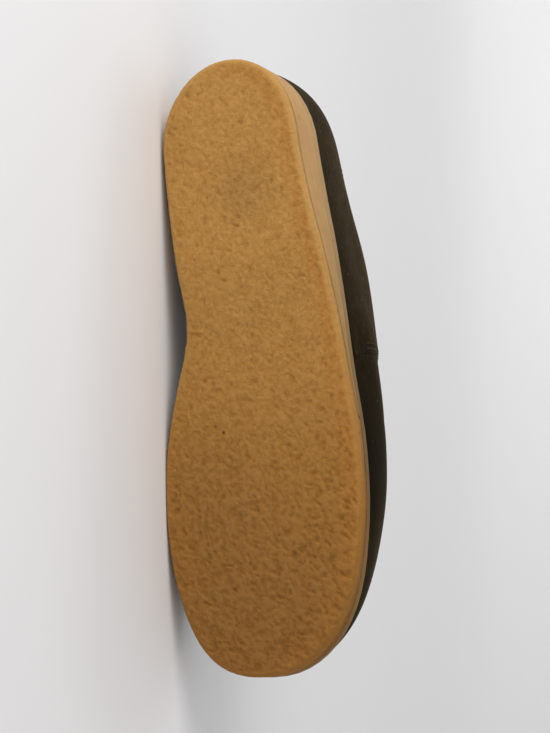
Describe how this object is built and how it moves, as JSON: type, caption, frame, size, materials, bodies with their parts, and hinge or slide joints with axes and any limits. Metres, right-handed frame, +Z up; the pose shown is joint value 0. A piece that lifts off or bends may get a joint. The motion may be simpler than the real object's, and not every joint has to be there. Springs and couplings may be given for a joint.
{
  "type": "chukka boot",
  "caption": "Ankle-high suede chukka boot for the right foot, laced over a tongue, on a thick crepe sole with a heel wedge. It lies on its medial side.",
  "frame": {"origin": "centre of the boot's bounding box, on the floor that it lies on", "axes": "+X from the heel to the toe, -Y the way that the tread faces, +Z up, which is the boot's lateral side"},
  "size_m": [0.3068, 0.1374, 0.1056],
  "materials": {
    "crepe": "matte crinkled crepe rubber, tan",
    "crepe_edge": "matte crepe rubber, lighter tan",
    "midsole": "satin beige rubber",
    "insole": "smooth tan leather",
    "suede": "dark brown suede with a short nap",
    "lace": "round waxed cotton cord, dark brown"
  },
  "bodies": {
    "root": {"outsole": "crepe", "heel_wedge": "crepe_edge", "midsole": "midsole", "insole": "insole", "upper": "suede", "tongue": "suede", "lace": "lace"}
  },
  "joints": []
}
